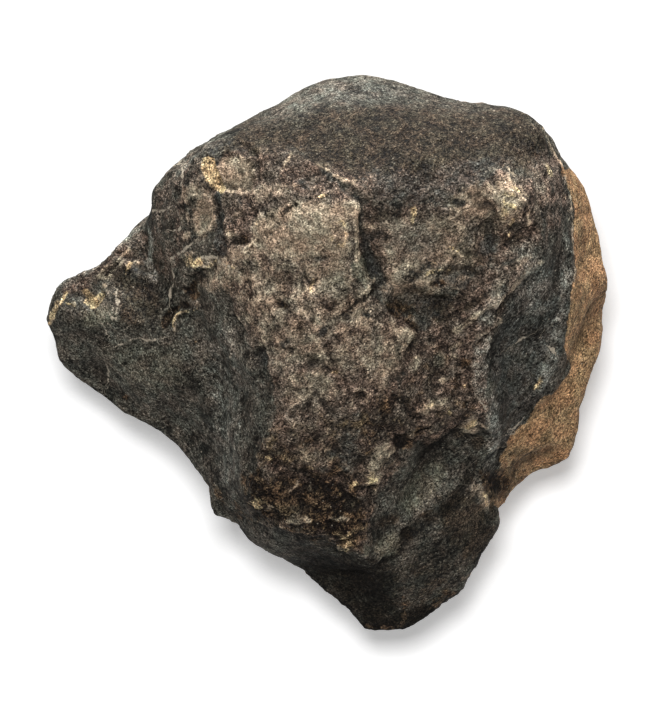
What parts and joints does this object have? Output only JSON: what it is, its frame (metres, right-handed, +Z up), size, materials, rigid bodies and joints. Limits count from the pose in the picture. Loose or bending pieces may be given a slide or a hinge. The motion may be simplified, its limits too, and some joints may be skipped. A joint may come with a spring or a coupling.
{
  "type": "chondrite meteorite",
  "caption": "Angular stony meteorite with a projecting nose, a rough raised slab, scooped hollows and a flat spot to rest on.",
  "frame": {"origin": "under the middle of the stone's bounding box, on the surface that it lies on", "axes": "+Z up as it lies, +X towards the tan weathered side and away from the nose, +Y towards the crest and away from the foot"},
  "size_m": [0.1686, 0.167, 0.109],
  "materials": {
    "crust": "dark brown-grey weathered fusion crust, smooth and faintly shiny on the outer faces, rough and brown on the slab, tan on the broken side"
  },
  "bodies": {
    "root": {"meteorite": "crust"}
  },
  "joints": []
}
